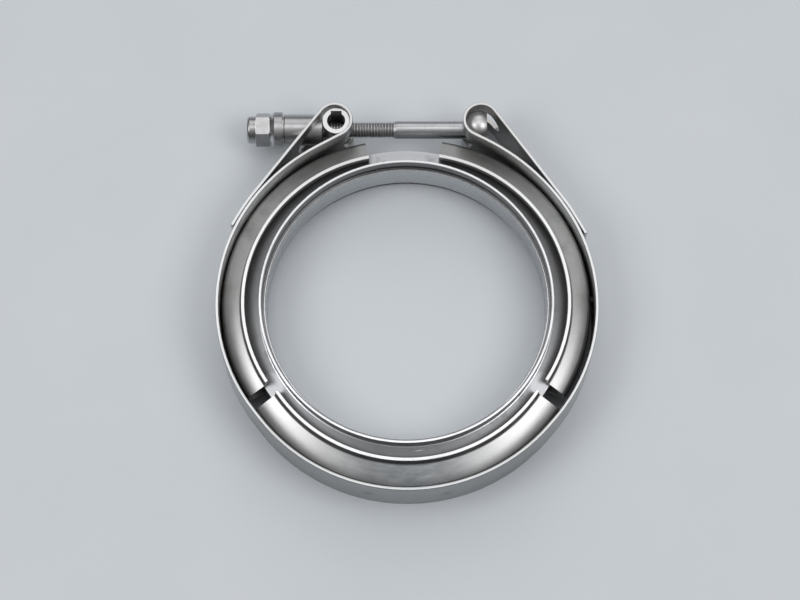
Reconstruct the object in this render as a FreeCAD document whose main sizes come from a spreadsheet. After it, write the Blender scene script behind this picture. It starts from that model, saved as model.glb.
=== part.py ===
import FreeCAD, Part
import math
import os
from FreeCAD import Placement, Rotation, Vector

# V band clamp, loosened on its pair of weld flanges and lying on its lower edge.
# The frame: the flanges' common axis is Z, the plane where they meet is z = 0, and the
# T bolt lies along X beyond the ring's +Y side. All sizes are millimetres and degrees.

SIZES = [
    # Weld flanges for a four inch pipe
    ("hub_radius", 50.8, "outside radius of a flange's hub"),
    ("hub_height", 10.75, "end face of the hub above the mating plane"),
    ("hub_wall", 1.2, "wall of the hub, which is the pipe's wall"),
    ("step_height", 6.25, "height of the step inside the hub"),
    ("relief_width", 0.6, "width of the corner relief round the step"),
    ("relief_depth", 0.6, "depth of that relief below the step"),
    ("step_width", 0.6, "width of the step inside its relief, down to the gas bore"),
    ("gas_chamfer", 0.4, "chamfer at the mouth of the gas bore"),
    ("rim_reach", 5.9, "how far the conical rim stands out of the hub"),
    ("rim_height", 3.5, "height of the rim's edge above the mating plane"),
    ("cone_angle", 20.0, "slope of the rim's cone"),
    ("hub_chamfer", 0.12, "broken edges of the hub's end face"),
    # Retainers, three bent sheet segments
    ("sheet", 1.3, "thickness of a retainer's sheet"),
    ("sheet_corner", 0.15, "broken corners of the sheet's edges"),
    ("lip_gap", 1.8, "how far the upright lips stand off the hub"),
    ("lip_height", 8.6, "top of the lips above the mating plane"),
    ("lip_bend", 1.2, "hollow side radius of the bend between lip and leg"),
    ("leg_lean", 1.0, "how much steeper the legs are than the rims that they grip"),
    ("back_bend", 2.2, "outside radius of the bend between leg and back"),
    ("rim_clearance", 0.05, "height that the legs keep above the rims"),
    ("left_x", -3.1, "centre of the left retainer"),
    ("left_y", 0.4, "centre of the left retainer"),
    ("left_start", 100.8, "first end of the left retainer"),
    ("left_span", 112.4, "angle that the left retainer covers"),
    ("left_back", 4.3, "how far the left retainer's back stands off the rims"),
    ("right_x", 2.9, "centre of the right retainer"),
    ("right_y", 0.6, "centre of the right retainer"),
    ("right_start", -32.6, "first end of the right retainer"),
    ("right_span", 113.3, "angle that the right retainer covers"),
    ("right_back", 4.3, "how far the right retainer's back stands off the rims"),
    ("bottom_x", 0.2, "centre of the bottom retainer"),
    ("bottom_y", -2.6, "centre of the bottom retainer"),
    ("bottom_start", 213.65, "first end of the bottom retainer"),
    ("bottom_span", 112.95, "angle that the bottom retainer covers"),
    ("bottom_back", 5.9, "how far the bottom retainer's back stands off the rims"),
    # Strap, one strip with a loop at each end
    ("strap_width", 21.5, "width of the strip, along Z"),
    ("strap_gauge", 1.15, "thickness of the strip"),
    ("strap_corner", 0.3, "broken corners of the strip's sheared ends"),
    ("strap_edge", 0.18, "broken long edges of the strip"),
    ("arc_gap", 5.9, "how far the strap's three arcs stand off the rims"),
    ("arc_left_x", -1.9, "centre of the strap's left arc"),
    ("arc_left_y", -0.5, "centre of the strap's left arc"),
    ("arc_right_x", 2.3, "centre of the strap's right arc"),
    ("arc_right_y", -1.0, "centre of the strap's right arc"),
    ("arc_bottom_x", 0.3, "centre of the strap's bottom arc"),
    ("arc_bottom_y", -3.3, "centre of the strap's bottom arc"),
    ("leg_right_extra", 9.4, "how much flatter the right leg is than its arc, in radius"),
    ("leg_right_angle", 30.0, "where the right leg leaves its arc"),
    ("leg_left_extra", 3.9, "how much flatter the left leg is than its arc, in radius"),
    ("leg_left_angle", 145.0, "where the left leg leaves its arc"),
    ("loop_play", 0.6, "how much wider the loops are than what lies in them, in radius"),
    ("loop_right_x", 26.3, "centre of the right loop"),
    ("loop_left_x", -25.2, "centre of the left loop"),
    ("bolt_rise", 3.4, "height of the bolt's axis above the inside of the strap's arcs"),
    ("tail_gap", 0.15, "gap between a folded tail and the strap under it"),
    ("tail_right_angle", 29.0, "where the right tail leaves the strap"),
    ("tail_right_run", 7.4, "straight end of the right tail"),
    ("tail_left_angle", 151.0, "where the left tail leaves the strap"),
    ("tail_left_run", 4.6, "straight end of the left tail"),
    ("slot_clearance", 0.25, "gap between the sleeve and the left slot's sides"),
    ("shank_clearance", 0.75, "gap between the shank and the right slot's sides"),
    ("slot_right_run", 0.0, "straight of the right slot along its tail"),
    ("slot_left_run", 8.6, "straight of the left slot along its tail"),
    # Spot welds, one pair under each retainer and one pair under each tail
    ("weld_radius", 1.6, "radius of a weld nugget"),
    ("weld_clearance", 0.03, "gap between a nugget and the retainer that it holds"),
    ("weld_left", 163.0, "middle of the welds on the left retainer"),
    ("weld_right", 14.0, "middle of the welds on the right retainer"),
    ("weld_bottom", 270.0, "middle of the welds on the bottom retainer"),
    ("weld_spread", 12.0, "angle from that middle to each weld"),
    ("tail_weld_spread", 4.0, "angle from a tail's last contact to each of its welds"),
    # T bolt
    ("head_radius", 4.6, "radius of the cross head"),
    ("head_flat", 2.75, "flat back of the head beyond its axis"),
    ("head_length", 18.8, "length of the cross head"),
    ("head_dome", 2.4, "height of the domes on the head's ends"),
    ("shank_radius", 3.15, "radius of the plain shank"),
    ("shank_length", 28.95, "head axis to the end of the plain shank"),
    ("thread_radius", 2.95, "crest radius of the M6 thread"),
    ("thread_chamfer", 1.1, "length of the taper from shank to thread"),
    ("tip_inset", 0.6, "how far the thread ends inside the nut's crown"),
    ("tip_chamfer", 0.6, "chamfer on the end of the thread"),
    # Trunnion, sleeve, collar and nut
    ("seat_clearance", 0.05, "gap where one piece bears on the next"),
    ("trunnion_radius", 4.7, "outside radius of the cross tube"),
    ("trunnion_bore", 3.2, "inside radius of the cross tube"),
    ("trunnion_length", 18.4, "length of the cross tube"),
    ("trunnion_notch", 3.8, "width of the shallow groove along its bore"),
    ("notch_depth", 0.5, "depth of that groove"),
    ("bolt_clearance", 0.3, "radial play of the bolt in trunnion and sleeve"),
    ("sleeve_radius", 5.5, "outside radius of the spacer sleeve"),
    ("sleeve_length", 13.9, "length of the spacer sleeve"),
    ("sleeve_chamfer", 0.35, "chamfers on the sleeve's ends"),
    ("collar_shoulder", 0.85, "how far the collar stands out of the sleeve"),
    ("collar_length", 4.9, "length of the collar"),
    ("collar_spigot", 0.5, "length of the collar's step against the sleeve"),
    ("collar_cone", 1.65, "length of the collar's cone against the nut"),
    ("collar_face", 5.2, "radius of the collar's face against the nut"),
    ("nut_flats", 10.65, "distance across the nut's flats"),
    ("nut_height", 4.9, "height of the nut's hexagon"),
    ("nut_chamfer", 0.45, "height that the hexagon's corners are turned down"),
    ("nut_turn", 16.0, "turn of the hexagon from having a flat on top"),
    ("crown_radius", 4.8, "outside radius of the nut's locking crown"),
    ("crown_height", 3.2, "height of the nut's locking crown"),
    ("crown_bend", 1.1, "rounded shoulder of the crown"),
    ("thread_clearance", 0.05, "radial play between the thread and the nut"),
]

doc = FreeCAD.newDocument("VBandClamp")
sheet = doc.addObject("Spreadsheet::Sheet", "Sizes")
for row, (alias, value, meaning) in enumerate(SIZES, start=1):
    sheet.set(f"A{row}", meaning)
    sheet.set(f"B{row}", str(value))
    sheet.setAlias(f"B{row}", alias)
doc.recompute()


# What follows from the driving dimensions, written once and used both in the sketches'
# coordinates and in the features' expressions
BORE = "(Sizes.hub_radius - Sizes.hub_wall)"
STEP_EDGE = f"({BORE} - Sizes.relief_width)"
GAS_BORE = f"({STEP_EDGE} - Sizes.step_width)"
RIM = "(Sizes.hub_radius + Sizes.rim_reach)"
LIP = "(Sizes.hub_radius + Sizes.lip_gap)"
ARC = f"({RIM} + Sizes.arc_gap)"
LOOP = "(max(Sizes.trunnion_radius; Sizes.head_radius) + Sizes.loop_play)"
SLOT = {
    "left": "(Sizes.sleeve_radius + Sizes.slot_clearance)",
    "right": "(Sizes.shank_radius + Sizes.shank_clearance)",
}
SLOT_DEPTH = f"({LOOP} + 2 * Sizes.strap_gauge)"
BOLT_Y = f"({ARC} + Sizes.bolt_rise)"
BOLT_HOLE = "(Sizes.thread_radius + Sizes.bolt_clearance)"
NUT_HOLE = "(Sizes.thread_radius + Sizes.thread_clearance)"
NUT_LENGTH = "(Sizes.nut_height + Sizes.crown_height)"
# Along the bolt each piece bears on the next: head and trunnion on the loops, then the stack
HEAD_X = f"(Sizes.loop_right_x - {LOOP} + Sizes.head_radius + Sizes.seat_clearance)"
TRUNNION_X = f"(Sizes.loop_left_x + {LOOP} - Sizes.trunnion_radius - Sizes.seat_clearance)"
SLEEVE_X = f"({TRUNNION_X} - Sizes.trunnion_radius - Sizes.seat_clearance)"
COLLAR_X = f"({SLEEVE_X} - Sizes.sleeve_length - Sizes.seat_clearance)"
NUT_X = f"({COLLAR_X} - Sizes.collar_length - Sizes.seat_clearance)"
BOLT_LENGTH = f"({HEAD_X} - {NUT_X} + {NUT_LENGTH} - Sizes.tip_inset)"


def worth(expression):
    """What an expression of the spreadsheet's cells comes to."""
    return float(sheet.evalExpression(expression))


def size(alias):
    """A driving dimension, as the spreadsheet holds it."""
    return worth(f"Sizes.{alias}")


def point(alias):
    """A centre in plan, from the spreadsheet's pair of cells."""
    return Vector(size(alias + "_x"), size(alias + "_y"), 0)


def ray(degrees):
    """The unit vector in plan at an angle from +X."""
    return Vector(math.cos(math.radians(degrees)), math.sin(math.radians(degrees)), 0)


def reach(start, degrees, centre, radius):
    """How far a ray from a point inside a circle runs before it meets that circle."""
    offset = start - centre
    along = offset.dot(ray(degrees))
    return math.sqrt(along ** 2 - offset.Length ** 2 + radius ** 2) - along


# Outlines. A bent strip, and any outline of lines and tangent arcs, is told by the circles
# that it turns round, each a centre and a radius: above zero it turns left, below zero right,
# and a radius of zero is a sharp corner.

def heading_between(circle, following):
    """The heading, in radians, of the straight run from one circle to the following one."""
    across = following[0] - circle[0]
    lean = (following[1] - circle[1]) / across.Length
    return math.atan2(across.y, across.x) - math.asin(max(-1.0, min(1.0, lean)))


def on_circle(circle, heading):
    """The point where a path with this heading touches the circle."""
    return circle[0] + Vector(math.sin(heading), -math.cos(heading), 0) * circle[1]


def tangent_outline(circles):
    """The closed outline, as curves, that turns round the circles one after another."""
    count = len(circles)
    headings = [heading_between(circles[i], circles[(i + 1) % count]) for i in range(count)]
    curves = []
    entry = on_circle(circles[0], headings[-1])
    for i, circle in enumerate(circles):
        arriving, leaving = headings[i - 1], headings[i]
        turn = (leaving - arriving) % (2 * math.pi)
        if circle[1] < 0:
            turn -= 2 * math.pi
        departure = on_circle(circle, leaving)
        if circle[1]:
            middle = on_circle(circle, arriving + turn / 2)
            curves.append(Part.Arc(entry, middle, departure))
        # Two arcs that touch from inside have no straight run between them.
        entry = on_circle(circles[(i + 1) % count], leaving)
        if (entry - departure).Length > 1e-4:
            curves.append(Part.LineSegment(departure, entry))
        else:
            entry = departure
    return curves


def strip_outline(turns, gauge, corner):
    """The closed outline of a strip of one gauge that follows the turns; its ends are chamfered."""
    half = gauge / 2
    circles = []
    for run in (turns, [(centre, -radius) for centre, radius in reversed(turns)]):
        circles += [(centre, radius + half) for centre, radius in run[1:-1]]
        heading = heading_between(run[-2], run[-1])
        ahead = Vector(math.cos(heading), math.sin(heading), 0)
        right = Vector(ahead.y, -ahead.x, 0)
        end = run[-1][0]
        for across, back in ((half, corner), (half - corner, 0), (corner - half, 0), (-half, corner)):
            circles.append((end + right * across - ahead * back, 0.0))
    return tangent_outline(circles)


# Bodies, sketches and features

def new_body(label):
    """An empty body whose label names its piece."""
    body = doc.addObject("PartDesign::Body", label)
    body.Label = label
    return body


def new_sketch(body, plane, name, curves):
    """A sketch of the curves on one of the body's own origin planes."""
    sketch = body.newObject("Sketcher::SketchObject", name)
    origin_planes = {item.Role: item for item in body.Origin.OriginFeatures}
    sketch.AttachmentSupport = [(origin_planes[plane], "")]
    sketch.MapMode = "FlatFace"
    sketch.addGeometry(curves, False)
    return sketch


def polygon(corners):
    """The closed outline of straight lines through the corners."""
    return [Part.LineSegment(a, b) for a, b in zip(corners, corners[1:] + corners[:1])]


def revolve(body, sketch, axis, name, angle=None):
    """Revolves a sketch about one of its own axes, by a whole turn or by a named angle."""
    feature = body.newObject("PartDesign::Revolution", name)
    feature.Profile = sketch
    feature.ReferenceAxis = (sketch, [axis])
    feature.Angle = 360
    if angle:
        feature.setExpression("Angle", angle)
    return feature


def cylinder(body, kind, name, place, direction, sizes):
    """An additive or subtractive cylinder that starts at a place and points along a direction."""
    feature = body.newObject(f"PartDesign::{kind}Cylinder", name)
    feature.Placement = Placement(place, Rotation(Vector(0, 0, 1), direction))
    for key, expression in sizes.items():
        feature.setExpression(key, expression)
    return feature


def place_on_bolt(body, along):
    """Binds the body's place to the bolt's axis, at an expression along X."""
    body.setExpression("Placement.Base.x", along)
    body.setExpression("Placement.Base.y", BOLT_Y)


# Weld flanges

def build_flange(label, mirrored):
    """One turned flange; the lower one is the same piece turned over."""
    body = new_body(label)
    hub, top = size("hub_radius"), size("hub_height")
    bore, floor = worth(BORE), size("step_height")
    step, relief = worth(STEP_EDGE), size("relief_depth")
    gas, gas_break = worth(GAS_BORE), size("gas_chamfer")
    rim, rim_top = worth(RIM), size("rim_height")
    broken = size("hub_chamfer")
    cone_top = rim_top + (rim - hub) * math.tan(math.radians(size("cone_angle")))
    corners = [
        Vector(hub, cone_top, 0), Vector(hub, top - broken, 0), Vector(hub - broken, top, 0),
        Vector(bore + broken, top, 0), Vector(bore, top - broken, 0), Vector(bore, floor - relief, 0),
        Vector(step, floor - relief, 0), Vector(step, floor, 0), Vector(gas + gas_break, floor, 0),
        Vector(gas, floor - gas_break, 0), Vector(gas, 0, 0), Vector(rim, 0, 0),
        Vector(rim, rim_top, 0),
    ]
    section = new_sketch(body, "XZ_Plane", label + "_section", polygon(corners))
    revolve(body, section, "V_Axis", label + "_turning")
    if mirrored:
        body.Placement = Placement(Vector(), Rotation(Vector(1, 0, 0), 180))
    return body


# Retainers

RETAINERS = ["left", "right", "bottom"]


def bend_height():
    """Height of the lip bend's centre at which every leg just clears the rim that it grips."""
    under = size("lip_bend") + size("sheet")
    bend_radius = worth(LIP) + under
    slope = math.radians(size("cone_angle") + size("leg_lean"))
    widest = 0.0
    for side in RETAINERS:
        start, span = size(side + "_start"), size(side + "_span")
        for degrees in (start, start + span):
            widest = max(widest, reach(point(side), degrees, Vector(), worth(RIM)))
    rise = under / math.cos(slope) + (widest - bend_radius) * math.tan(slope)
    return size("rim_height") + size("rim_clearance") + rise


def build_retainer(side):
    """One segment: lip, leg, back, leg and lip of bent sheet, revolved about its own centre."""
    label = "retainer_" + side
    body = new_body(label)
    gauge, top = size("sheet"), size("lip_height")
    lip_turn = size("lip_bend") + gauge / 2
    back_turn = size("back_bend") - gauge / 2
    lip_middle = worth(LIP) + gauge / 2
    lip_centre = Vector(lip_middle + lip_turn, bend_height(), 0)
    # The leg touches both bends, so its slope and their radii set the back bend's height.
    slope = math.radians(size("cone_angle") + size("leg_lean"))
    back_x = worth(RIM) + size(side + "_back") - size("back_bend")
    drop = (lip_turn + back_turn + (back_x - lip_centre.x) * math.sin(slope)) / math.cos(slope)
    back_centre = Vector(back_x, lip_centre.y - drop, 0)
    turns = [
        (Vector(lip_middle, top, 0), 0.0),
        (lip_centre, lip_turn),
        (back_centre, -back_turn),
        (Vector(back_centre.x, -back_centre.y, 0), -back_turn),
        (Vector(lip_centre.x, -lip_centre.y, 0), lip_turn),
        (Vector(lip_middle, -top, 0), 0.0),
    ]
    outline = strip_outline(turns, gauge, size("sheet_corner"))
    section = new_sketch(body, "XZ_Plane", label + "_section", outline)
    revolve(body, section, "V_Axis", label + "_bend", f"Sizes.{side}_span")
    body.Placement = Placement(point(side), Rotation(Vector(0, 0, 1), size(side + "_start")))
    return body


# Strap

def leg_centre(side):
    """Centre of the wider arc that carries the strap from its ring up to a loop."""
    return point("arc_" + side) - ray(size(f"leg_{side}_angle")) * size(f"leg_{side}_extra")


def loop_centre(side):
    """Centre of the loop on one side."""
    return Vector(size(f"loop_{side}_x"), worth(BOLT_Y), 0)


def tail_radius():
    """Radius of the middle of a tail where it lies on the strap's outside."""
    return worth(ARC) + 1.5 * size("strap_gauge") + size("tail_gap")


def tail_end(side, towards):
    """Middle of the tail's end face; towards is -1 for clockwise and 1 for anticlockwise."""
    degrees = size(f"tail_{side}_angle")
    last_contact = point("arc_" + side) + ray(degrees) * tail_radius()
    return last_contact + ray(degrees + 90 * towards) * size(f"tail_{side}_run")


def strap_turns():
    """The strip's middle line: right tail, loop, leg, round the ring, leg, loop, left tail."""
    half = size("strap_gauge") / 2
    loop = worth(LOOP) + half
    ring = worth(ARC) + half
    return [
        (tail_end("right", -1), 0.0),
        (point("arc_right"), tail_radius()),
        (loop_centre("right"), loop),
        (leg_centre("right"), -ring - size("leg_right_extra")),
        (point("arc_right"), -ring),
        (point("arc_bottom"), -ring),
        (point("arc_left"), -ring),
        (leg_centre("left"), -ring - size("leg_left_extra")),
        (loop_centre("left"), loop),
        (point("arc_left"), tail_radius()),
        (tail_end("left", 1), 0.0),
    ]


def cut_slot(body, side, tail_heading, leg_heading):
    """
    Slots one loop for the bolt: a sector round the loop, a straight with a round end out along
    the tail, and a round end by the leg. Headings lead away from the loop, in radians.
    """
    centre = loop_centre(side)
    away = Vector(math.cos(tail_heading), math.sin(tail_heading), 0)
    down = Vector(math.cos(leg_heading), math.sin(leg_heading), 0)
    facing = 1 if side == "right" else -1
    out_of_tail = Vector(-away.y, away.x, 0) * facing
    out_of_leg = Vector(down.y, -down.x, 0) * facing
    half_slot = worth(SLOT[side])
    # Round end beside the leg, bored from outside the leg up to the loop's centre
    mouth = centre + out_of_leg * worth(SLOT_DEPTH) - down * half_slot
    cylinder(body, "Subtractive", f"slot_{side}_foot", mouth, out_of_leg * -1,
             {"Radius": SLOT[side], "Height": SLOT_DEPTH})
    # Sector from the tail's side of the loop to the side away from the leg
    first = math.degrees(math.atan2(out_of_tail.y, out_of_tail.x))
    last = math.degrees(math.atan2(-down.y, -down.x))
    if side == "left":
        first, last = last, first
    sector = body.newObject("PartDesign::SubtractiveCylinder", f"slot_{side}_sector")
    sector.Placement = Placement(centre - Vector(0, 0, half_slot), Rotation(Vector(0, 0, 1), first))
    sector.setExpression("Radius", SLOT_DEPTH)
    sector.setExpression("Height", f"2 * {SLOT[side]}")
    sector.Angle = (last - first) % 360
    # Straight and round end out along the tail
    run = size(f"slot_{side}_run")
    if run:
        straight = body.newObject("PartDesign::SubtractiveBox", f"slot_{side}_straight")
        turn = Rotation(out_of_tail, away, Vector(0, 0, 1), "XYZ")
        straight.Placement = Placement(centre - Vector(0, 0, half_slot), turn)
        straight.setExpression("Length", SLOT_DEPTH)
        straight.setExpression("Width", f"Sizes.slot_{side}_run")
        straight.setExpression("Height", f"2 * {SLOT[side]}")
    cylinder(body, "Subtractive", f"slot_{side}_end", centre + away * run, out_of_tail,
             {"Radius": SLOT[side], "Height": SLOT_DEPTH})


def weld_retainer(body, side):
    """Two nuggets that stand inside the strap and meet the back of one retainer."""
    centre = point(side)
    middle = worth(ARC) + size("strap_gauge") / 2
    for end in (-1, 1):
        degrees = size("weld_" + side) + end * size("weld_spread")
        start = worth(RIM) + size(side + "_back") + size("weld_clearance")
        nugget = body.newObject("PartDesign::AdditiveCylinder", f"weld_{side}_{(end + 3) // 2}")
        nugget.Placement = Placement(centre + ray(degrees) * start, Rotation(Vector(0, 0, 1), ray(degrees)))
        nugget.setExpression("Radius", "Sizes.weld_radius")
        nugget.Height = reach(centre, degrees, point("arc_" + side), middle) - start


def weld_tail(body, side):
    """Two nuggets that join a folded tail to the strap under it."""
    centre = point("arc_" + side)
    middle = worth(ARC) + size("strap_gauge") / 2
    for end in (-1, 1):
        degrees = size(f"tail_{side}_angle") + end * size("tail_weld_spread")
        foot = centre + ray(degrees) * middle
        cylinder(body, "Additive", f"tail_weld_{side}_{(end + 3) // 2}", foot, ray(degrees),
                 {"Radius": "Sizes.weld_radius", "Height": "Sizes.strap_gauge + Sizes.tail_gap"})


def build_strap():
    """The strip with its loops, slots, folded tails and weld nuggets."""
    body = new_body("strap")
    turns = strap_turns()
    outline = strip_outline(turns, size("strap_gauge"), size("strap_corner"))
    plan = new_sketch(body, "XY_Plane", "strap_plan", outline)
    strip = body.newObject("PartDesign::Pad", "strap_strip")
    strip.Profile = plan
    strip.SideType = "Symmetric"
    strip.setExpression("Length", "Sizes.strap_width")
    doc.recompute()
    rim = size("strap_width") / 2
    long_edges = [f"Edge{n}" for n, edge in enumerate(strip.Shape.Edges, start=1)
                  if abs(abs(edge.CenterOfMass.z) - rim) < 1e-6]
    broken = body.newObject("PartDesign::Chamfer", "strap_edges")
    broken.Base = (strip, long_edges)
    broken.setExpression("Size", "Sizes.strap_edge")
    last = len(turns) - 1
    cut_slot(body, "right", heading_between(turns[1], turns[2]) + math.pi,
             heading_between(turns[2], turns[3]))
    cut_slot(body, "left", heading_between(turns[last - 2], turns[last - 1]),
             heading_between(turns[last - 3], turns[last - 2]) + math.pi)
    for side in RETAINERS:
        weld_retainer(body, side)
    for side in ("left", "right"):
        weld_tail(body, side)
    return body


# Bolt and what it carries. Each body's own origin is on the bolt's axis, where it seats.

def build_t_bolt():
    """Shank and thread turned about X, and the cross head turned about Z with a flat back."""
    body = new_body("t_bolt")
    shank, thread = size("shank_radius"), size("thread_radius")
    shank_end, tip = size("shank_length"), worth(BOLT_LENGTH)
    taper, chamfer = size("thread_chamfer"), size("tip_chamfer")
    profile = polygon([
        Vector(0, 0, 0), Vector(0, shank, 0), Vector(-shank_end, shank, 0),
        Vector(-shank_end - taper, thread, 0), Vector(-tip + chamfer, thread, 0),
        Vector(-tip, thread - chamfer, 0), Vector(-tip, 0, 0),
    ])
    shank_profile = new_sketch(body, "XY_Plane", "bolt_shank_profile", profile)
    revolve(body, shank_profile, "H_Axis", "bolt_shank")
    radius, end, dome = size("head_radius"), size("head_length") / 2, size("head_dome")
    # The dome is a cap whose sphere passes through its edge and its pole.
    sphere = (radius ** 2 + dome ** 2) / (2 * dome)
    middle = math.asin(radius / sphere) / 2
    upper = Vector(sphere * math.sin(middle), end - sphere + sphere * math.cos(middle), 0)
    lower = Vector(upper.x, -upper.y, 0)
    shoulder = end - dome
    head_profile = new_sketch(body, "XZ_Plane", "bolt_head_profile", [
        Part.LineSegment(Vector(0, -end, 0), Vector(0, end, 0)),
        Part.Arc(Vector(0, end, 0), upper, Vector(radius, shoulder, 0)),
        Part.LineSegment(Vector(radius, shoulder, 0), Vector(radius, -shoulder, 0)),
        Part.Arc(Vector(radius, -shoulder, 0), lower, Vector(0, -end, 0)),
    ])
    revolve(body, head_profile, "V_Axis", "bolt_head")
    back = body.newObject("PartDesign::SubtractiveBox", "bolt_head_flat")
    back.setExpression("Length", "Sizes.head_radius")
    back.setExpression("Width", "4 * Sizes.head_radius")
    back.setExpression("Height", "2 * Sizes.head_length")
    back.Placement = Placement(Vector(size("head_flat"), -2 * radius, -2 * end), Rotation())
    place_on_bolt(body, HEAD_X)
    return body


def build_trunnion():
    """The cross tube, drilled across for the bolt, with a shallow groove along its bore."""
    body = new_body("trunnion")
    outer = Part.Circle(Vector(), Vector(0, 0, 1), size("trunnion_radius"))
    section = new_sketch(body, "XY_Plane", "trunnion_section", [outer])
    tube = body.newObject("PartDesign::Pad", "trunnion_tube")
    tube.Profile = section
    tube.SideType = "Symmetric"
    tube.setExpression("Length", "Sizes.trunnion_length")
    half = size("trunnion_length") / 2
    cylinder(body, "Subtractive", "trunnion_hollow", Vector(0, 0, -half), Vector(0, 0, 1),
             {"Radius": "Sizes.trunnion_bore", "Height": "Sizes.trunnion_length"})
    groove = body.newObject("PartDesign::SubtractiveBox", "trunnion_groove")
    groove.Placement = Placement(Vector(-size("trunnion_notch") / 2, 0, -half), Rotation())
    groove.setExpression("Length", "Sizes.trunnion_notch")
    groove.setExpression("Width", "Sizes.trunnion_bore + Sizes.notch_depth")
    groove.setExpression("Height", "Sizes.trunnion_length")
    outside = size("trunnion_radius")
    cylinder(body, "Subtractive", "trunnion_cross_hole", Vector(-outside, 0, 0), Vector(1, 0, 0),
             {"Radius": BOLT_HOLE, "Height": "2 * Sizes.trunnion_radius"})
    place_on_bolt(body, TRUNNION_X)
    return body


def build_sleeve():
    """The plain spacer tube, chamfered at both ends."""
    body = new_body("sleeve")
    bore, outer = worth(BOLT_HOLE), size("sleeve_radius")
    length, broken = size("sleeve_length"), size("sleeve_chamfer")
    section = new_sketch(body, "XY_Plane", "sleeve_section", polygon([
        Vector(0, bore, 0), Vector(0, outer - broken, 0), Vector(-broken, outer, 0),
        Vector(broken - length, outer, 0), Vector(-length, outer - broken, 0), Vector(-length, bore, 0),
    ]))
    revolve(body, section, "H_Axis", "sleeve_turning")
    place_on_bolt(body, SLEEVE_X)
    return body


def build_collar():
    """The shouldered ring that spreads the nut's load on the sleeve's end."""
    body = new_body("collar")
    bore, outer = worth(BOLT_HOLE), size("sleeve_radius") + size("collar_shoulder")
    length, face = size("collar_length"), size("collar_face")
    spigot, cone = size("collar_spigot"), size("collar_cone")
    land = size("sleeve_radius") - size("sleeve_chamfer")
    section = new_sketch(body, "XY_Plane", "collar_section", polygon([
        Vector(0, bore, 0), Vector(0, land, 0), Vector(-spigot, land, 0),
        Vector(-spigot, outer, 0), Vector(cone - length, outer, 0), Vector(-length, face, 0),
        Vector(-length, bore, 0),
    ]))
    revolve(body, section, "H_Axis", "collar_turning")
    place_on_bolt(body, COLLAR_X)
    return body


def build_nut():
    """The lock nut: a turned blank with its crown, its hexagon, and the hole for the thread."""
    body = new_body("nut")
    flats, height = size("nut_flats"), size("nut_height")
    corner = flats / math.sqrt(3)
    corners = [ray(60 * n + 30) * corner for n in range(6)]
    hexagon = new_sketch(body, "YZ_Plane", "nut_hexagon", polygon(corners))
    block = body.newObject("PartDesign::Pad", "nut_block")
    block.Profile = hexagon
    block.Reversed = True
    block.setExpression("Length", "Sizes.nut_height")
    # The hexagon's corners are turned down at both ends by a cutter that leaves a 30 degree cone.
    chamfer = size("nut_chamfer")
    spread = chamfer * math.tan(math.radians(60))
    for name, face, inner in (("nut_lower_chamfer", 0, -1), ("nut_upper_chamfer", -height, 1)):
        cutter = new_sketch(body, "XY_Plane", name + "_profile", polygon([
            Vector(face, corner + chamfer - spread, 0), Vector(face, corner + chamfer, 0),
            Vector(face + inner * chamfer, corner + chamfer, 0),
        ]))
        groove = body.newObject("PartDesign::Groove", name)
        groove.Profile = cutter
        groove.ReferenceAxis = (cutter, ["H_Axis"])
        groove.Angle = 360
    crown, bend = size("crown_radius"), size("crown_bend")
    bore = worth(NUT_HOLE)
    tip = -worth(NUT_LENGTH)
    diagonal = bend * math.sqrt(0.5)
    crown_profile = [
        Part.LineSegment(Vector(-height, bore, 0), Vector(-height, crown, 0)),
        Part.LineSegment(Vector(-height, crown, 0), Vector(tip + bend, crown, 0)),
        Part.Arc(Vector(tip + bend, crown, 0),
                 Vector(tip + bend - diagonal, crown - bend + diagonal, 0), Vector(tip, crown - bend, 0)),
        Part.LineSegment(Vector(tip, crown - bend, 0), Vector(tip, bore, 0)),
        Part.LineSegment(Vector(tip, bore, 0), Vector(-height, bore, 0)),
    ]
    crown_sketch = new_sketch(body, "XY_Plane", "nut_crown_profile", crown_profile)
    revolve(body, crown_sketch, "H_Axis", "nut_crown")
    cylinder(body, "Subtractive", "nut_hole", Vector(), Vector(-1, 0, 0),
             {"Radius": NUT_HOLE, "Height": NUT_LENGTH})
    body.Placement = Placement(Vector(), Rotation(Vector(1, 0, 0), size("nut_turn")))
    place_on_bolt(body, NUT_X)
    return body


pieces = [build_strap()]
pieces += [build_retainer(side) for side in RETAINERS]
pieces += [build_flange("flange_upper", False), build_flange("flange_lower", True)]
pieces += [build_t_bolt(), build_trunnion(), build_sleeve(), build_collar(), build_nut()]
doc.recompute()

for item in doc.Objects:
    if {"Invalid", "Error"} & set(item.State):
        raise RuntimeError(f"{item.Label} did not build: {item.State}")
for piece in pieces:
    if piece.Shape.isNull() or not piece.Shape.isValid() or len(piece.Shape.Solids) != 1:
        raise RuntimeError(f"{piece.Label} is not one sound solid")

os.makedirs("parts", exist_ok=True)
for piece in pieces:
    piece.Shape.exportStep(f"parts/{piece.Label}.step")
    centre = piece.Shape.Solids[0].CenterOfMass
    place = f"{centre.x:.2f}, {centre.y:.2f}, {centre.z:.2f}"
    print(f"{piece.Label:16s} volume {piece.Shape.Volume:8.1f}  centre {place}")
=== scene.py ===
# %% [markdown]
# # A V-band clamp on its two weld flanges
#
# The clamp joins two tubes of an exhaust. A thin strap runs round three pressed retainers, and
# its ends are folded back into loops. A T bolt's cross head lies in one loop, and a cross tube,
# the trunnion, lies in the other. The bolt passes through the trunnion and a spacer sleeve, and
# a lock nut pulls the loops together, so that the retainers squeeze the flanges' sloping rims.
#
# The shapes of nine pieces are right as the CAD model gives them, so this file mostly teaches how
# bare steel gets its many faces: rolled, pressed, drawn and turned. Two pieces are made again
# here: the bolt, whose thread is too fine for the CAD model, and the nut, which stands turned
# a little further on its axis.

# %% Load the frame
import math

import bmesh
import bpy
from mathutils import Matrix, Vector


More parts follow.
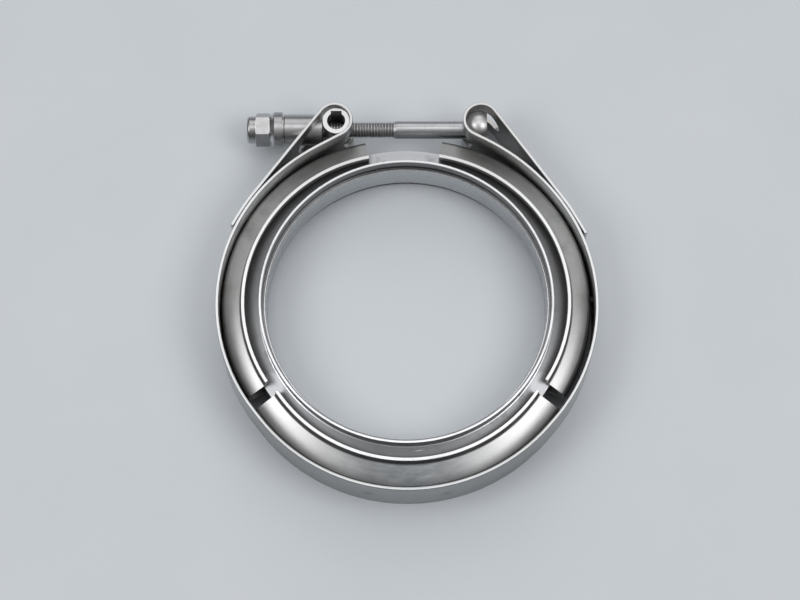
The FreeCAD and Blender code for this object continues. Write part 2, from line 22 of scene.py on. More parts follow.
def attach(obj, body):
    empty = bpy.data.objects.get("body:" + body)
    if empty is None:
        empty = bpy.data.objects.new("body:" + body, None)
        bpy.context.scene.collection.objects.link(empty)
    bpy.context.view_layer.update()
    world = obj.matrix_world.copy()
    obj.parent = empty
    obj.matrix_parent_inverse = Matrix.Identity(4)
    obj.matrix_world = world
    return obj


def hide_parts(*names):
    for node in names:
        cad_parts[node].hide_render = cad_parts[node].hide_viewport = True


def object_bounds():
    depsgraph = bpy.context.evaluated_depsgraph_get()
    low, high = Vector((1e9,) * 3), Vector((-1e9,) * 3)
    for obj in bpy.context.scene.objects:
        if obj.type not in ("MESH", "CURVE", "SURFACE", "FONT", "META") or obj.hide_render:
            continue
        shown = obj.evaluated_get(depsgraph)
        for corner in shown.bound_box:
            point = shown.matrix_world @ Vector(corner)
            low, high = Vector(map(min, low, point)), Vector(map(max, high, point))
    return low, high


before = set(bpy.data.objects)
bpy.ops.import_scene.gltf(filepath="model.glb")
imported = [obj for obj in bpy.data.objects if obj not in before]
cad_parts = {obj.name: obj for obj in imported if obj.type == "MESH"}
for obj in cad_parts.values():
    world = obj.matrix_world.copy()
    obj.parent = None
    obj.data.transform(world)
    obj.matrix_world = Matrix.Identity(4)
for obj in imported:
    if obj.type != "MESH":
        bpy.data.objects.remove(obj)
cad_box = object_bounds()
print("pieces:", ", ".join(sorted(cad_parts)))
print("box in mm:", [[round(1000 * value, 1) for value in corner] for corner in cad_box])

# %% [markdown]
# ## The camera
#
# The clamp lies flat and is seen from above, a little from the front. A fairly long lens from
# nearly nine tenths of a metre keeps the circles round. The angle is the tilt away from
# straight down.

# %% Place the camera
MM = 0.001
CAMERA_TILT = 17.0


def show(name, data):
    """Puts a new object in the scene, made from its mesh, lamp or camera data."""
    made = bpy.data.objects.new(name, data)
    bpy.context.scene.collection.objects.link(made)
    return made


camera = show("camera", bpy.data.cameras.new("camera"))
camera.data.sensor_width = 36
camera.data.lens = 111.85
camera.location = (-2.2 * MM, -249.6 * MM, 826.0 * MM)
camera.rotation_euler = (math.radians(CAMERA_TILT), 0, 0)
camera.data.clip_start = 0.05
camera.data.clip_end = 20
bpy.context.scene.camera = camera
bpy.context.scene.view_settings.view_transform = "Standard"
print("lens", camera.data.lens, "mm, tilt", CAMERA_TILT, "degrees")

# %% [markdown]
# ## Shader maths in plain Python
#
# Node trees for steel need a lot of arithmetic: distances from an axis, bands near an edge,
# several layers of grain. Wiring each Math node by hand hides the idea. So one small class wraps
# an output socket and overloads the arithmetic signs, and one method makes any node at all.

# %% The wire and the finish
class Wire:
    """An output socket of a finish. Arithmetic on it adds Math nodes."""

    def __init__(self, finish, socket):
        self.finish = finish
        self.socket = socket

    def maths(self, operation, *values):
        return self.finish.node("ShaderNodeMath", {"operation": operation}, dict(enumerate(values)))

    def __add__(self, other):
        return self.maths("ADD", self, other)

    def __sub__(self, other):
        return self.maths("SUBTRACT", self, other)

    def __rsub__(self, other):
        return self.maths("SUBTRACT", other, self)

    def __mul__(self, other):
        return self.maths("MULTIPLY", self, other)

    def __truediv__(self, other):
        return self.maths("DIVIDE", self, other)

    def __rtruediv__(self, other):
        return self.maths("DIVIDE", other, self)

    def __abs__(self):
        return self.maths("ABSOLUTE", self)

    __radd__ = __add__
    __rmul__ = __mul__


class Finish:
    """A material or a sky in the making: every node comes from its node method."""

    def __init__(self, owner):
        self.owner = owner
        owner.use_nodes = True
        self.tree = owner.node_tree
        self.tree.nodes.clear()

    def node(self, kind, settings=None, values=None, output=0):
        """Makes one node, sets it up, and fills or links its inputs; gives one of its outputs."""
        made = self.tree.nodes.new(kind)
        for key, value in (settings or {}).items():
            setattr(made, key, value)
        for key, value in (values or {}).items():
            if isinstance(value, Wire):
                self.tree.links.new(value.socket, made.inputs[key])
            else:
                made.inputs[key].default_value = value
        return Wire(self, made.outputs[output]) if made.outputs else None


print("wires add, subtract, multiply and divide")

# %% [markdown]
# ## Measures on a surface
#
# Object coordinates are in metres and match the CAD frame. The helpers below turn them into
# millimetres from a piece's own centre, split them into x, y and z, and measure how far a point
# lies from an axis or from one spot. Nearly every mask further down is made of these numbers.

# %% Coordinates in millimetres
def object_place(finish, centre=(0, 0, 0)):
    """Where a point lies in millimetres, seen from a centre also in millimetres."""
    place = finish.node("ShaderNodeTexCoord", output="Object")
    return finish.node("ShaderNodeMapping", {"vector_type": "POINT"}, {
        "Vector": place, "Scale": (1 / MM, 1 / MM, 1 / MM), "Location": tuple(-value for value in centre)})


def parts(finish, vector):
    """The x, y and z of a vector, as three wires."""
    first = finish.node("ShaderNodeSeparateXYZ", None, {0: vector})
    return [Wire(finish, socket) for socket in first.socket.node.outputs]


def distance_out(finish, a, b):
    """How far out a point lies from the axis, from its two offsets."""
    return finish.node("ShaderNodeMath", {"operation": "SQRT"}, {0: a * a + b * b})


def distance_to(finish, place, spot):
    """How far a point lies from one spot."""
    return finish.node("ShaderNodeVectorMath", {"operation": "DISTANCE"}, {0: place, 1: spot}, 1)


def begin(name, centre=(0, 0, 0)):
    """A new finish, the place on its piece in millimetres, and that place's x, y and z."""
    finish = Finish(bpy.data.materials.new(name))
    place = object_place(finish, centre)
    return finish, place, parts(finish, place)


print("coordinates are in millimetres from here on")

# %% [markdown]
# ## Masks
#
# A mask is 1 where something shows and 0 elsewhere, with a soft border. Four masks do all the
# work here: everything above a value, everything below it, a band near one value, and blotches
# of noise. A mask then mixes one colour over another, layer by layer, as dirt lies on steel.

# %% Masks and layers
FACTOR, PLAIN_COLOUR, OTHER_COLOUR, MIXED_COLOUR = 0, 6, 7, 2


def above(finish, value, edge, soft):
    """1 where the value is above the edge, 0 below it, smooth over the soft width."""
    return finish.node("ShaderNodeMapRange", {"interpolation_type": "SMOOTHSTEP"}, {
        "Value": value, "From Min": edge - soft / 2, "From Max": edge + soft / 2})


def below(finish, value, edge, soft):
    """The other way round: 1 where the value is below the edge."""
    return 1 - above(finish, value, edge, soft)


def near(finish, value, middle, reach):
    """1 where the value is at the middle, falling to 0 at the reach on either side."""
    return below(finish, abs(value - middle), reach / 2, reach)


def noise(finish, vector, scale, detail, rough=0.5):
    """Smooth noise about 0.5, with one cell each 1/scale millimetre."""
    return finish.node("ShaderNodeTexNoise", {"noise_dimensions": "3D"}, {
        "Vector": vector, "Scale": scale, "Detail": detail, "Roughness": rough})


def blotches(finish, vector, scale, edge, soft):
    """Irregular patches: 1 where the noise is above the edge."""
    return above(finish, noise(finish, vector, scale, 3.0, 0.6), edge, soft)


def mix(finish, mask, plain, other):
    """One colour where the mask is 0, and the other where it is 1."""
    values = {FACTOR: mask, PLAIN_COLOUR: plain, OTHER_COLOUR: other}
    return finish.node("ShaderNodeMix", {"data_type": "RGBA"}, values, MIXED_COLOUR)


def tone(red, green, blue):
    """A colour that hides what is under it."""
    return (red, green, blue, 1.0)


def shade(finish, colour, amount):
    """A colour made lighter or darker by a number that is 1 where nothing changes."""
    grey = finish.node("ShaderNodeCombineColor", None, {0: amount, 1: amount, 2: amount})
    return finish.node("ShaderNodeMix", {"data_type": "RGBA", "blend_type": "MULTIPLY"},
                       {FACTOR: 1.0, PLAIN_COLOUR: colour, OTHER_COLOUR: grey}, MIXED_COLOUR)


print("masks: above, below, near, blotches")

# %% [markdown]
# ## Grain
#
# Rolling, drawing and turning all leave lines. They differ only in direction: the lines follow
# whatever coordinate does not change along them. So the grain's noise is squeezed hard across
# the lines and left long along them, and no texture with a seam is needed.

# %% Lines left by the maker's tool
def lines(finish, across, down, slow, width):
    """Grain lines: noise that changes fast across and down, and slowly along the lines."""
    vector = finish.node("ShaderNodeCombineXYZ", None, {
        0: across / width, 1: down / width, 2: slow})
    return noise(finish, vector, 1.0, 3.0, 0.65)


def steel(finish, colour, rough, height, depth, metallic=1.0):
    """The shader at the end: bare metal with a bump of the given depth in millimetres."""
    bump = finish.node("ShaderNodeBump", None, {
        "Strength": 1.0, "Distance": depth * MM, "Height": height})
    shader = finish.node("ShaderNodeBsdfPrincipled", None, {
        "Base Color": colour, "Metallic": metallic, "Roughness": rough, "Normal": bump})
    finish.node("ShaderNodeOutputMaterial", None, {"Surface": shader})
    return finish.owner


def dress(node, material):
    """Gives a CAD node its finish."""
    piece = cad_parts[node]
    piece.data.materials.clear()
    piece.data.materials.append(material)
    print(f"{node}: {material.name}, {len(material.node_tree.nodes)} nodes")


print("grain, steel and dress are ready")

# %% [markdown]
# ## The flanges: fine turned steel
#
# Each flange is turned from bar. The tool leaves fine rings on the end face, the cone and the
# bores. Freshly turned faces are bright. The cone carries painted shade where a retainer covers
# it, and painted light in the mouth under the bolt and in the two side gaps. The seat for the tube
# is painted darker as painted shade, darkest in its lower part, and the corner relief below it is
# painted darker still, as painted shade in that recess. The step's corner is a painted highlight:
# a bright line, on which the metallic value is turned down. One short scratch lies on the cone in
# front.

# %% Turned flanges
HUB_RADIUS = 50.8
RIM_RADIUS = 56.7
SEAT_RADIUS = 49.3
STEP_RADIUS = 48.45
STEP_HEIGHT = 6.3
HUB_TOP = 10.4
MOUTH_HALF = 12.5
SIDE_GAP = (46.0, -29.0)
BORE_LIMIT = 50.0
CONE_LIMIT = 51.0
SCRATCH_RADIUS = 52.4


def turned_flange(name):
    finish, place, (x, y, z) = begin(name)
    out = distance_out(finish, x, y)
    height = abs(z)
    slow = noise(finish, place, 0.02, 1.0) * 6
    fine = lines(finish, out, height, slow, 0.32)
    coarse = lines(finish, out, height, slow, 0.9)
    cloud = noise(finish, place, 0.09, 4.0, 0.6)
    inside = below(finish, out, BORE_LIMIT, 0.3)
    seat = inside * above(finish, height, STEP_HEIGHT, 0.2) * above(finish, out, SEAT_RADIUS, 0.1)
    corner = seat * below(finish, height, 8.0, 1.6)
    relief = near(finish, out, SEAT_RADIUS, 0.5) * near(finish, height, 5.8, 0.6)
    throat = inside * below(finish, height, 5.9, 0.3)
    cone = above(finish, out, CONE_LIMIT, 0.3)
    flat = finish.node("ShaderNodeCombineXYZ", None, {0: x, 1: y})
    bare = below(finish, abs(x), MOUTH_HALF, 2.0) * above(finish, y, 0.0, 1.0)
    for side in (-1, 1):
        gap = (side * SIDE_GAP[0], SIDE_GAP[1], 0)
        away = distance_to(finish, flat, gap)
        bare = bare + below(finish, away, 4.2, 2.4) * 0.6
    step_highlight = near(finish, out, STEP_RADIUS, 0.5) * near(finish, height, 6.2, 0.7)
    smear = blotches(finish, place, 0.16, 0.6, 0.12)
    front = below(finish, y, 0.0, 1.0)
    scratch = front * near(finish, x, 4.3, 2.4) * near(finish, out + x * 0.05, SCRATCH_RADIUS, 0.22)
    # Painted shade on the cone under the retainers, and painted light in the mouth and the side gaps.
    colour = mix(finish, cone, tone(0.70, 0.71, 0.73), tone(0.31, 0.315, 0.325))
    colour = mix(finish, bare * cone, colour, tone(0.62, 0.63, 0.65))
    colour = mix(finish, throat * 0.9, colour, tone(0.54, 0.555, 0.575))
    # Painted shade in the tube's seat, darkest in its lower part, and in the corner relief below it.
    colour = mix(finish, seat * 0.9, colour, tone(0.17, 0.17, 0.175))
    colour = mix(finish, corner * 0.9, colour, tone(0.04, 0.04, 0.04))
    colour = mix(finish, relief * 0.9, colour, tone(0.05, 0.045, 0.04))
    colour = mix(finish, smear * cone * 0.25, colour, tone(0.2, 0.195, 0.19))
    colour = shade(finish, colour, 0.86 + fine * 0.16 + (coarse - 0.5) * 0.3 + (cloud - 0.5) * 0.2)
    hub_edge = near(finish, out, HUB_RADIUS, 0.2) * above(finish, height, HUB_TOP, 0.2)
    rim = near(finish, out, RIM_RADIUS, 0.35) + hub_edge
    colour = mix(finish, rim * 0.5, colour, tone(0.82, 0.82, 0.82))
    colour = mix(finish, scratch * 0.9, colour, tone(0.9, 0.9, 0.9))
    # Painted highlight: a bright line on the step's corner, with less metal to it.
    colour = mix(finish, step_highlight, colour, tone(0.9, 0.9, 0.92))
    rough = 0.28 + (fine - 0.5) * 0.12 + (cloud - 0.5) * 0.14 + seat * 0.12 + cone * 0.16 + smear * 0.06
    rings = fine * 0.6 + coarse * 0.4
    return steel(finish, colour, rough, rings, depth=0.005, metallic=1 - step_highlight * 0.8)


for side in ("upper", "lower"):
    dress(f"flange_{side}", turned_flange(f"turned_steel_{side}"))

# %% [markdown]
# ## The retainers: rolled sheet pressed to a V
#
# Three segments of sheet are rolled to a V section. Rolling leaves a matt skin with long faint
# lines round the ring. The cut edges of the lips are rubbed bright, the spot welds that hold
# the strap leave straw and blue heat stains beside them, and a few smudges of dirt lie near the
# ends. Their inner walls and the ends near the bolt are painted darker, as painted shade, and the
# bottom one is painted a darker blue-grey in front, in streaky patches, as painted shade too. Each
# retainer is an arc about a centre of its own, about three millimetres from the ring's.

# %% Pressed retainers
WELD_STEP = 12
STAIN_RADIUS = 58.5
LIP_HEIGHT = 8.35
LIP_REACH = 53.0


def ray(degrees):
    """The direction at an angle round the ring, counted from +X towards +Y."""
    angle = math.radians(degrees)
    return Vector((math.cos(angle), math.sin(angle), 0))


def pressed_retainer(name, centre, weld_angle, smudges):
    finish, place, (x, y, z) = begin(name, centre)
    out = distance_out(finish, x, y)
    height = abs(z)
    slow = noise(finish, place, 0.03, 1.0) * 5
    grain = lines(finish, out, height, slow, 0.35)
    cloud = noise(finish, place, 0.12, 4.0, 0.62)
    front = near(finish, x, 0.0, 34.0) * below(finish, y, -40.0, 16.0)
    stretched = finish.node("ShaderNodeCombineXYZ", None, {0: x * 0.3, 1: out, 2: z})
    mottled_shade = blotches(finish, stretched, 0.5, 0.5, 0.3) * front
    speckle = blotches(finish, place, 1.6, 0.66, 0.08)
    inner_wall_shade = below(finish, out, LIP_REACH, 0.5) * below(finish, height, 8.3, 0.3)
    edge = above(finish, height, LIP_HEIGHT, 0.2)
    colour = mix(finish, cloud, tone(0.58, 0.58, 0.58), tone(0.68, 0.68, 0.68))
    # Painted shade on the inner walls of the retainers.
    colour = mix(finish, inner_wall_shade * 0.7, colour, tone(0.22, 0.205, 0.19))
    for step in (-WELD_STEP, WELD_STEP):
        spot = tuple(ray(weld_angle + step) * STAIN_RADIUS)
        away = distance_to(finish, place, spot)
        straw = below(finish, away + cloud * 6, 8.0, 4.0) * 0.25
        blue = below(finish, away + cloud * 5, 5.5, 3.0) * 0.4
        colour = mix(finish, straw, colour, tone(0.38, 0.33, 0.27))
        colour = mix(finish, blue, colour, tone(0.22, 0.24, 0.28))
    for spot in smudges:
        away = distance_to(finish, place, spot)
        dirt = below(finish, away + cloud * 6, 6.5, 4.0)
        colour = mix(finish, dirt * 0.5, colour, tone(0.17, 0.17, 0.18))
    # Painted shade in front: a darker blue-grey tint, broken into darker streaky patches.
    colour = mix(finish, front * 0.45, colour, tone(0.38, 0.42, 0.46))
    colour = mix(finish, mottled_shade * 0.5, colour, tone(0.20, 0.23, 0.26))
    colour = mix(finish, speckle * 0.15, colour, tone(0.30, 0.29, 0.28))
    # Painted shade: the ends near the bolt are darker.
    shaded_ends = above(finish, y, 42.0, 26.0)
    colour = shade(finish, colour, 0.9 + (grain - 0.5) * 0.2 + cloud * 0.12 - shaded_ends * 0.42)
    colour = mix(finish, edge * 0.6, colour, tone(0.80, 0.80, 0.81))
    rough = 0.38 + (cloud - 0.5) * 0.16 + (grain - 0.5) * 0.08 + mottled_shade * 0.06 - edge * 0.06
    return steel(finish, colour, rough, grain * 0.5 + cloud * 0.5, depth=0.006)


RETAINERS = {
    "left": ((-3.1, 0.4, 0), 163), "right": ((2.9, 0.6, 0), 14), "bottom": ((0.2, -2.6, 0), 270)}
SMUDGES = {"left": ((-51, 25, 8), (-46, 34, 8)), "right": ((49, 32, 8), (54, 20, 8)), "bottom": ()}
for side, (centre, weld_angle) in RETAINERS.items():
    dress(f"retainer_{side}", pressed_retainer(
        f"retainer_steel_{side}", centre, weld_angle, SMUDGES[side]))

# %% [markdown]
# ## The strap: satin rolled strip
#
# The strip's grain runs along its length, so across its width the lines are level: they depend
# on the height alone. Its long edges are slit and tumbled bright. Where the strap is welded to
# a retainer, each spot shows outside as a small dull dimple with a straw ring, and inside as a
# dark nugget, which is painted nearly black as painted shade.
#
# The strap has three arcs with centres of their own, which are not the retainers' centres. The
# distance from an arc's centre tells the inner wall from the outer one. The inner wall is
# painted dark low down and in front, and the whole strap is a little darker in front. That is
# shade put into the colour, and not a change in the steel, so it stays when the light is changed.

# %% Satin strap
STRAP_ARCS = {"left": (-1.9, -0.5), "right": (2.3, -1.0), "bottom": (0.3, -3.3)}
STRAP_MIDDLE = 63.2
NUGGET_RADIUS = 61.8
DIMPLE_RADIUS = 63.8
STRAP_EDGE = 10.5


def satin_strap(name):
    finish, place, (x, y, z) = begin(name)
    height = abs(z)
    slow = noise(finish, place, 0.015, 1.0) * 4
    grain = lines(finish, z, 0.0, slow, 0.3)
    fine = lines(finish, z, 0.0, slow, 0.2)
    cloud = noise(finish, place, 0.07, 4.0, 0.6)
    rubbed = blotches(finish, place, 0.22, 0.56, 0.14)
    edge = above(finish, height, STRAP_EDGE, 0.16)
    loops = above(finish, y, 52.0, 16.0)
    colour = mix(finish, cloud, tone(0.54, 0.545, 0.55), tone(0.65, 0.655, 0.66))
    colour = mix(finish, loops * (0.25 + rubbed * 0.3), colour, tone(0.42, 0.38, 0.32))
    streaks = lines(finish, x, y, z * 0.05, 0.7)
    nugget_shade = 0.0
    dimple = 0.0
    inside = 0.0
    for side, (centre, weld_angle) in RETAINERS.items():
        arc_x, arc_y = STRAP_ARCS[side]
        from_arc = distance_out(finish, x - arc_x, y - arc_y)
        gap = below(finish, from_arc, STRAP_MIDDLE, 0.1)
        inside = inside + gap * (1 - inside)
        for step in (-WELD_STEP, WELD_STEP):
            way = ray(weld_angle + step)
            under = tuple(Vector(centre) + way * NUGGET_RADIUS)
            over = tuple(Vector(centre) + way * DIMPLE_RADIUS)
            hidden = distance_to(finish, place, under)
            away = distance_to(finish, place, over)
            straw = near(finish, away, 2.4, 1.3)
            dull = below(finish, away, 1.6, 0.5)
            colour = mix(finish, straw * 0.3, colour, tone(0.46, 0.40, 0.31))
            colour = mix(finish, dull * 0.5, colour, tone(0.36, 0.36, 0.38))
            nugget_shade = nugget_shade + below(finish, hidden, 2.6, 0.3) * gap
            dimple = dull + dimple
    # The weld nuggets on the inside, painted nearly black as painted shade.
    colour = mix(finish, nugget_shade, colour, tone(0.03, 0.03, 0.03))
    shaded = below(finish, z + y * 0.25, 6.0, 12.0)
    colour = mix(finish, inside * shaded * 0.85, colour, tone(0.06, 0.058, 0.055))
    light = 0.9 + (grain - 0.5) * 0.22 + fine * 0.08 + (cloud - 0.5) * 0.12
    light = light + (streaks - 0.5) * 0.3 * above(finish, y, 10.0, 40.0)
    colour = shade(finish, colour, light - below(finish, y, -42.0, 44.0) * 0.34)
    colour = mix(finish, edge * 0.5, colour, tone(0.74, 0.75, 0.76))
    rough = 0.34 + (grain - 0.5) * 0.16 + (cloud - 0.5) * 0.14 + dimple * 0.12 - edge * 0.04 + nugget_shade * 0.25
    return steel(finish, colour, rough, grain * 0.6 + fine * 0.4 - dimple * 4.0, depth=0.005)


dress("strap", satin_strap("strap_steel_satin"))

# %% [markdown]
# ## Turned pieces on the bolt's axis
#
# The trunnion, sleeve, collar and nut are all small lathe work, so they share one recipe: rings
# about an axis, a soft bright band where the corners are rubbed, and a thin film of oil and dirt
# that darkens some of the surface. On the collar's sloping left face the bright band is a painted
# highlight. The axis is along X for all but the trunnion.

# %% Turned fasteners
BOLT_Y = 66.0


def turned_fastener(name, upright, centre, colours, rough_level, line_width, edges, reach, dirt):
    finish, place, (x, y, z) = begin(name, centre)
    along = z if upright else x
    out = distance_out(finish, x if upright else z, y)
    slow = noise(finish, place, 0.1, 1.0) * 3
    grain = lines(finish, along, out * 0.2, slow, line_width)
    cloud = noise(finish, place, 0.3, 4.0, 0.6)
    film = blotches(finish, place, 0.45, 0.55, 0.3)
    speckle = blotches(finish, place, 3.2, 0.68, 0.06)
    colour = mix(finish, cloud, *colours)
    colour = mix(finish, film * dirt, colour, tone(0.22, 0.20, 0.18))
    colour = mix(finish, speckle * 0.06, colour, tone(0.20, 0.19, 0.18))
    colour = shade(finish, colour, 0.9 + (grain - 0.5) * 0.1 + cloud * 0.1)
    wear_and_highlight = 0.0
    for edge in edges:
        wear_and_highlight = near(finish, along, edge, reach) + wear_and_highlight
    # Bright bands: wear on the corners, and a painted highlight on the collar's sloping left face.
    colour = mix(finish, wear_and_highlight * 0.55, colour, tone(0.78, 0.78, 0.78))
    rough = rough_level + (grain - 0.5) * 0.03 + film * 0.03 + (cloud - 0.5) * 0.03 - wear_and_highlight * 0.04
    return steel(finish, colour, rough, grain, depth=0.0004)


LIGHT_STEEL = (tone(0.56, 0.56, 0.56), tone(0.70, 0.70, 0.70))
DARK_STEEL = (tone(0.42, 0.42, 0.43), tone(0.52, 0.52, 0.53))

dress("trunnion", turned_fastener(
    "tube_steel_turned", upright=True, centre=(-24.65, BOLT_Y, 0), colours=LIGHT_STEEL,
    rough_level=0.32, line_width=0.4, edges=(-9.2, 9.2), reach=0.35, dirt=0.25))
dress("sleeve", turned_fastener(
    "fastener_steel_sleeve", upright=False, centre=(-36.35, BOLT_Y, 0), colours=DARK_STEEL,
    rough_level=0.30, line_width=0.6, edges=(-6.95, 6.95), reach=0.4, dirt=0.15))
# The band at -1.6 is a painted highlight on the collar's sloping left face.
dress("collar", turned_fastener(
    "fastener_steel_collar", upright=False, centre=(-45.8, BOLT_Y, 0), colours=DARK_STEEL,
    rough_level=0.33, line_width=0.5, edges=(-2.45, -1.6, 2.45), reach=0.5, dirt=0.15))
nut_steel = turned_fastener(
    "nut_steel_turned", upright=False, centre=(-52.35, BOLT_Y, 0), colours=DARK_STEEL,
    rough_level=0.28, line_width=0.5, edges=(-4.05, -0.9, 4.05), reach=0.3, dirt=0.2)
print("nut:", nut_steel.name)

# %% [markdown]
# ## The T bolt and its thread
#
# The bolt's head and shank come from the CAD model: a copy of that mesh is merged and cut off
# square where the thread begins. The thread is one tooth, spun once about the axis while it moves
# along it by one pitch, and then that turn is copied along the bolt. Neighbouring turns meet
# exactly, so merging makes one skin, and cutting it square at both ends lets two caps close it.

# %% Cut the plain bolt
PITCH = 1.0 * MM
CREST = 2.95 * MM
ROOT = 2.41 * MM
THREAD_START = -4.4 * MM
THREAD_TIP = -55.8 * MM
AXIS = Vector((0, BOLT_Y * MM, 0))
SAME_POINT = 1e-7
NEXT_TURN = 2e-6
ON_THE_CUT = 1e-6


def cut_square(mesh, x, direction):
    """Cuts a mesh across the bolt's axis, keeps the side against the direction, and caps it."""
    everything = mesh.verts[:] + mesh.edges[:] + mesh.faces[:]
    bmesh.ops.bisect_plane(mesh, geom=everything, dist=SAME_POINT, plane_co=(x, 0, 0),
                           plane_no=(direction, 0, 0), clear_outer=True)
    rim = [edge for edge in mesh.edges if edge.is_boundary
           and all(abs(vertex.co.x - x) < ON_THE_CUT for vertex in edge.verts)]
    bmesh.ops.holes_fill(mesh, edges=rim, sides=0)


plain = bmesh.new()
plain.from_mesh(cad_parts["t_bolt"].data)
bmesh.ops.remove_doubles(plain, verts=plain.verts, dist=SAME_POINT)
cut_square(plain, THREAD_START, -1)
print("head and shank:", len(plain.faces), "faces, open edges", sum(e.is_boundary for e in plain.edges))

# %% [markdown]
# The tooth has the metric form: a crest an eighth of the pitch wide, a root a quarter wide, and
# straight flanks at sixty degrees between them. It is drawn once in the plane above the axis.
# At the tip the crests are brought in to a cone, as the end of a bolt is turned down.

# %% Spin the thread
STEPS = 36
SPARE_TURNS = 3
TIP_BEVEL = 0.6 * MM
turns = int((THREAD_START - THREAD_TIP) / PITCH) + SPARE_TURNS
thread = bmesh.new()
tooth = [(0.0, CREST), (0.0625, CREST), (0.375, ROOT), (0.625, ROOT), (0.9375, CREST), (1.0, CREST)]
corners = [thread.verts.new((THREAD_TIP + (part - 1.5) * PITCH, AXIS.y, radius)) for part, radius in tooth]
profile = [thread.edges.new(pair) for pair in zip(corners, corners[1:])]
bmesh.ops.spin(thread, geom=corners + profile, cent=AXIS, axis=(1, 0, 0),
               dvec=(PITCH / STEPS, 0, 0), angle=2 * math.pi, steps=STEPS,
               use_merge=False, use_duplicate=False)
one_turn = thread.verts[:] + thread.edges[:] + thread.faces[:]
for turn in range(1, turns):
    copy = bmesh.ops.duplicate(thread, geom=one_turn)["geom"]
    moved = [item for item in copy if isinstance(item, bmesh.types.BMVert)]
    bmesh.ops.translate(thread, verts=moved, vec=(turn * PITCH, 0, 0))
bmesh.ops.remove_doubles(thread, verts=thread.verts, dist=NEXT_TURN)
cut_square(thread, THREAD_START, 1)
cut_square(thread, THREAD_TIP, -1)
for vertex in thread.verts:
    from_tip = vertex.co.x - THREAD_TIP
    radial = Vector((0, vertex.co.y - AXIS.y, vertex.co.z))
    allowed = CREST - TIP_BEVEL + from_tip
    if radial.length > allowed:
        vertex.co -= radial.normalized() * (radial.length - allowed)
bmesh.ops.recalc_face_normals(thread, faces=thread.faces)
print("thread:", len(thread.faces), "faces, open edges", sum(e.is_boundary for e in thread.edges),
      "volume in mm3", round(thread.calc_volume() * 1e9))

# %% [markdown]
# Both parts go into one mesh. Faces are smooth, and every edge sharper than thirty degrees is
# marked sharp, so that the crests, the flat back of the head and the domes' rims stay crisp.

# %% Join the bolt
SHARP = math.radians(30)


def add_piece(name, meshes, body):
    """One object from several meshes, smooth but for its sharp edges, riding on a body."""
    data = bpy.data.meshes.new(name)
    whole = bmesh.new()
    for mesh in meshes:
        mesh.to_mesh(data)
        whole.from_mesh(data)
    for face in whole.faces:
        face.smooth = True
    for edge in whole.edges:
        edge.smooth = len(edge.link_faces) == 2 and edge.calc_face_angle() < SHARP
    whole.to_mesh(data)
    piece = show(name, data)
    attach(piece, body)
    print(f"{name}: {len(data.polygons)} faces")
    return piece


bolt = add_piece("t_bolt_threaded", [plain, thread], "clamp")
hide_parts("t_bolt")

# %% [markdown]
# A lock nut stays at whatever turn it is left, and here one of its flats lies nearly level on
# top, a little further round than in the CAD model. So the nut is a copy of the CAD mesh, turned
# on the bolt's axis. It rides on the nut's own body, and so it turns and slides with it.

# %% Turn the nut
NUT_TURN = math.radians(18)
turned = bmesh.new()
turned.from_mesh(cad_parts["nut"].data)
bmesh.ops.remove_doubles(turned, verts=turned.verts, dist=SAME_POINT)
bmesh.ops.rotate(turned, verts=turned.verts, cent=AXIS, matrix=Matrix.Rotation(NUT_TURN, 3, "X"))
nut = add_piece("nut_at_rest", [turned], "nut")
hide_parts("nut")
nut.data.materials.append(nut_steel)

# %% [markdown]
# ## The bolt's steel
#
# The shank's lines run round it as fine rings from the lathe. The domes of the head are painted
# lighter, as a painted highlight, and the thread is bright on its crests and darker in its roots.

# %% Drawn and threaded steel
THREAD_LIMIT = -4.2
HEAD_LIMIT = 20.0


def drawn_bolt(name):
    finish, place, (x, y, z) = begin(name, (0, BOLT_Y, 0))
    out = distance_out(finish, y, z)
    slow = noise(finish, place, 0.1, 1.0) * 3
    grain = lines(finish, x, out * 0.3, slow, 0.5)
    cloud = noise(finish, place, 0.25, 4.0, 0.6)
    film = blotches(finish, place, 0.5, 0.54, 0.2)
    threaded = below(finish, x, THREAD_LIMIT, 0.4)
    root = threaded * below(finish, out, 2.65, 0.4)
    crest = threaded * above(finish, out, 2.85, 0.1)
    head = above(finish, x, HEAD_LIMIT, 1.0)
    dome = head * above(finish, abs(z), 5.2, 1.0)
    colour = mix(finish, cloud, tone(0.46, 0.47, 0.49), tone(0.56, 0.57, 0.58))
    colour = mix(finish, film * 0.2, colour, tone(0.24, 0.23, 0.22))
    colour = mix(finish, threaded * 0.6, colour, tone(0.66, 0.66, 0.67))
    colour = mix(finish, root * 0.7, colour, tone(0.2, 0.195, 0.19))
    colour = mix(finish, crest * 0.7, colour, tone(0.78, 0.78, 0.80))
    # Painted highlight: the domes of the head are lighter.
    colour = mix(finish, dome * 0.8, colour, tone(0.66, 0.66, 0.66))
    colour = shade(finish, colour, 0.9 + (grain - 0.5) * 0.16 + cloud * 0.1)
    rough = 0.3 + (grain - 0.5) * 0.04 + film * 0.03 + root * 0.15 + dome * 0.08
    return steel(finish, colour, rough, grain, depth=0.001)


bolt.data.materials.append(drawn_bolt("bolt_steel_drawn"))
print("bolt finished")

# %% [markdown]
# ## The floor
#
# The floor is a plain pale sheet under the clamp's lowest point. It takes the soft shadow, and
# bare steel shows its paleness from below. Very slow noise keeps it from looking like plastic.

# %% Floor
FLOOR_REACH = 3.0
floor_mesh = bmesh.new()
bmesh.ops.create_grid(floor_mesh, x_segments=1, y_segments=1, size=FLOOR_REACH)
bmesh.ops.translate(floor_mesh, verts=floor_mesh.verts, vec=(0, 0, cad_box[0].z))
floor_data = bpy.data.meshes.new("floor")
floor_mesh.to_mesh(floor_data)
floor = show("floor", floor_data)

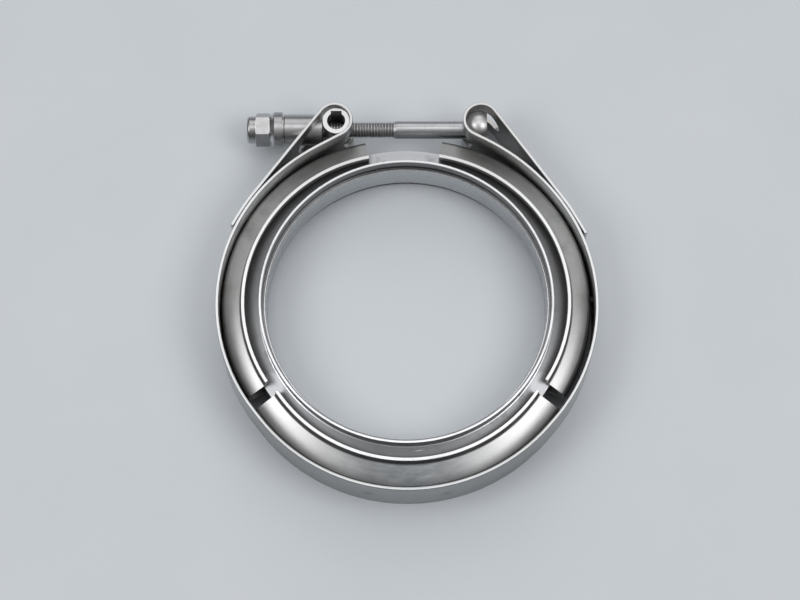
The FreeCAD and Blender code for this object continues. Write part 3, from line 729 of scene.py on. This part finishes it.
paper = Finish(bpy.data.materials.new("floor_paper"))
paper_place = object_place(paper)
paper_cloud = noise(paper, paper_place, 0.02, 3.0)
paper_colour = mix(paper, paper_cloud, tone(0.66, 0.70, 0.74), tone(0.72, 0.755, 0.79))
paper_shader = paper.node("ShaderNodeBsdfPrincipled", None, {
    "Base Color": paper_colour, "Roughness": 0.8, "Specular IOR Level": 0.2})
paper.node("ShaderNodeOutputMaterial", None, {"Surface": paper_shader})
floor_data.materials.append(paper.owner)
print("floor at", round(cad_box[0].z / MM, 2), "mm")

# %% [markdown]
# ## The lamps
#
# Polished steel shows whatever stands round it, so the light matters as much as the finish. A
# large soft lamp stands on the right and a weaker one on the left. A small one overhead is for
# the edges that face up, and one behind lights the cone under the bolt. All are square sheets
# that point at the middle of the clamp.

# %% Lamps
def lamp(name, place, size, energy):
    data = bpy.data.lights.new(name, "AREA")
    data.shape = "SQUARE"
    data.size = size
    data.energy = energy
    made = show(name, data)
    made.location = place
    aim = Vector((0, 0, 0)) - Vector(place)
    made.rotation_euler = aim.to_track_quat("-Z", "Y").to_euler()
    print(f"{name}: {energy} W")


lamp("right_lamp", (0.56, -0.20, 0.90), size=0.55, energy=2.6)
lamp("left_lamp", (-0.62, -0.16, 0.86), size=0.50, energy=2.2)
lamp("top_lamp", (0.0, 0.20, 1.02), size=0.40, energy=0.6)
lamp("back_lamp", (0.0, 0.95, 0.62), size=0.70, energy=1.3)

# %% [markdown]
# ## The sky
#
# The sky is dim near the horizon and in front, and brighter overhead and behind. That gives the
# walls of the ring their dark reflections, and it keeps the front from washing out. Past the
# floor's edge the camera sees one even pale tone, so the sky that steel shows isn't the sky
# that the camera sees.

# %% Sky
HORIZON_GLOW = 0.08
TOP_GLOW = 0.30
BACK_GLOW = 0.66
PALE_BACKDROP = 0.66
world = bpy.data.worlds.new("sky")
bpy.context.scene.world = world
sky = Finish(world)
direction = sky.node("ShaderNodeTexCoord", output="Generated")
back, up = parts(sky, direction)[1:]
rise = above(sky, up, 0.62, 0.76)
behind = above(sky, back, -0.15, 0.7)
glow = HORIZON_GLOW + rise * (TOP_GLOW + behind * BACK_GLOW)
seen = sky.node("ShaderNodeLightPath", output="Is Camera Ray")
strength = sky.node("ShaderNodeMix", None, {0: seen, 2: glow, 3: PALE_BACKDROP})
sky.node("ShaderNodeOutputWorld", None, {
    "Surface": sky.node("ShaderNodeBackground", None, {"Strength": strength})})
print("the sky is dim at the horizon and in front, and brighter overhead and behind")

# %% [markdown]
# ## The end
#
# The CAD model's box is printed when the model is loaded. The visible model must stay
# within the CAD model's box.

# %% Finish
print("done")
